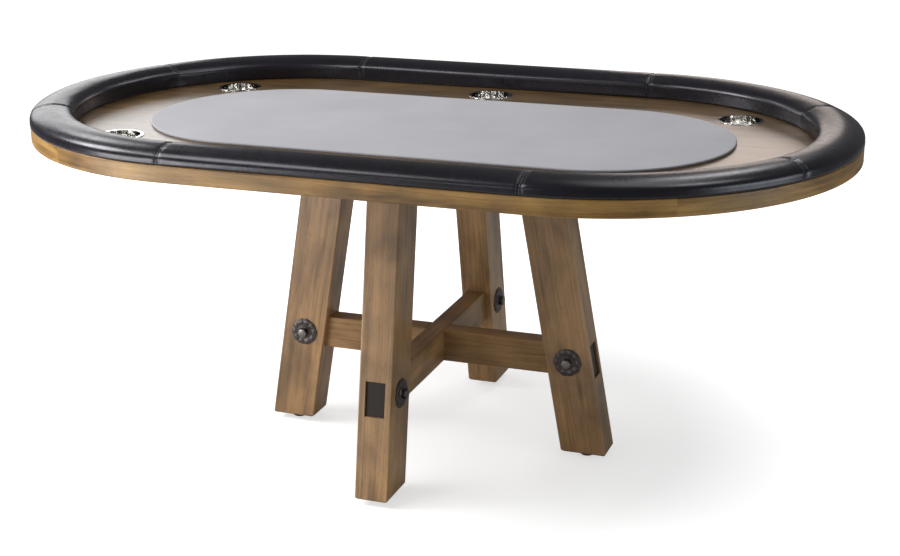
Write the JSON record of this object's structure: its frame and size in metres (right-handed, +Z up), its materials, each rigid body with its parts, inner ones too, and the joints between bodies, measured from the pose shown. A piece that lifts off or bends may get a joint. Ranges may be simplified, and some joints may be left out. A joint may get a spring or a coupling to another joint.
{
  "type": "poker table",
  "caption": "Oval poker table: padded rail round a wooden racetrack and cloth playing surface, with drop-in cup holders, on a splayed-leg base tied by crossing stretchers.",
  "frame": {"origin": "on the floor under the middle of the oval top", "axes": "+X along the table's long axis, +Y across it, from the front to the back, +Z up"},
  "size_m": [1.8006, 1.0748, 0.762],
  "materials": {
    "racetrack_wood": "satin",
    "plywood": "matte",
    "foam": "matte",
    "playing_cloth": "matte",
    "apron_wood": "satin",
    "rail_vinyl": "satin",
    "polished_steel": "polished",
    "leg_wood": "satin",
    "stretcher_wood": "satin",
    "dark_iron": "satin",
    "zinc_steel": "satin",
    "brass_insert": "satin",
    "glide_plastic": "matte"
  },
  "bodies": {
    "table": {"top_panel": "racetrack_wood", "playing_board": "plywood", "rail_core_front": "plywood", "rail_core_back": "plywood", "rail_core_left": "plywood", "rail_core_right": "plywood", "mounting_plate": "plywood", "playing_foam": "foam", "rail_foam_front": "foam", "rail_foam_back": "foam", "rail_foam_left": "foam", "rail_foam_right": "foam", "playing_cloth": "playing_cloth", "apron_front": "apron_wood", "apron_back": "apron_wood", "apron_left": "apron_wood", "apron_right": "apron_wood", "rail_cover_front": "rail_vinyl", "rail_cover_back": "rail_vinyl", "rail_cover_left_front": "rail_vinyl", "rail_cover_left_end": "rail_vinyl", "rail_cover_left_back": "rail_vinyl", "rail_cover_right_front": "rail_vinyl", "rail_cover_right_end": "rail_vinyl", "rail_cover_right_back": "rail_vinyl", "leg_front": "leg_wood", "leg_back": "leg_wood", "leg_left": "leg_wood", "leg_right": "leg_wood", "stretcher_long": "stretcher_wood", "stretcher_cross": "stretcher_wood", "beam_long": "stretcher_wood", "beam_cross": "stretcher_wood", "tenon_bolts": "dark_iron", "star_washers": "dark_iron", "tenon_nuts": "dark_iron", "plate_screws": "zinc_steel", "top_bolts": "zinc_steel", "rail_bolts": "zinc_steel", "top_inserts": "brass_insert", "rail_inserts": "brass_insert", "glide_inserts": "brass_insert"},
    "cup_front_left": {"cup_front_left": "polished_steel"},
    "cup_front_middle": {"cup_front_middle": "polished_steel"},
    "cup_front_right": {"cup_front_right": "polished_steel"},
    "cup_back_left": {"cup_back_left": "polished_steel"},
    "cup_back_middle": {"cup_back_middle": "polished_steel"},
    "cup_back_right": {"cup_back_right": "polished_steel"},
    "glide_front": {"glide_stem_front": "zinc_steel", "glide_foot_front": "glide_plastic"},
    "glide_back": {"glide_stem_back": "zinc_steel", "glide_foot_back": "glide_plastic"},
    "glide_left": {"glide_stem_left": "zinc_steel", "glide_foot_left": "glide_plastic"},
    "glide_right": {"glide_stem_right": "zinc_steel", "glide_foot_right": "glide_plastic"}
  },
  "joints": [
    {"name": "lift_front_left", "type": "slide", "parent": "table", "child": "cup_front_left", "axis": [0, 0, 1], "range_m": [0, 0.12]},
    {"name": "lift_front_middle", "type": "slide", "parent": "table", "child": "cup_front_middle", "axis": [0, 0, 1], "range_m": [0, 0.12]},
    {"name": "lift_front_right", "type": "slide", "parent": "table", "child": "cup_front_right", "axis": [0, 0, 1], "range_m": [0, 0.12]},
    {"name": "lift_back_left", "type": "slide", "parent": "table", "child": "cup_back_left", "axis": [0, 0, 1], "range_m": [0, 0.12]},
    {"name": "lift_back_middle", "type": "slide", "parent": "table", "child": "cup_back_middle", "axis": [0, 0, 1], "range_m": [0, 0.12]},
    {"name": "lift_back_right", "type": "slide", "parent": "table", "child": "cup_back_right", "axis": [0, 0, 1], "range_m": [0, 0.12]},
    {"name": "glide_front_screw", "type": "slide", "parent": "table", "child": "glide_front", "axis": [0, 0, -1], "range_m": [0, 0.01]},
    {"name": "glide_back_screw", "type": "slide", "parent": "table", "child": "glide_back", "axis": [0, 0, -1], "range_m": [0, 0.01]},
    {"name": "glide_left_screw", "type": "slide", "parent": "table", "child": "glide_left", "axis": [0, 0, -1], "range_m": [0, 0.01]},
    {"name": "glide_right_screw", "type": "slide", "parent": "table", "child": "glide_right", "axis": [0, 0, -1], "range_m": [0, 0.01]}
  ]
}
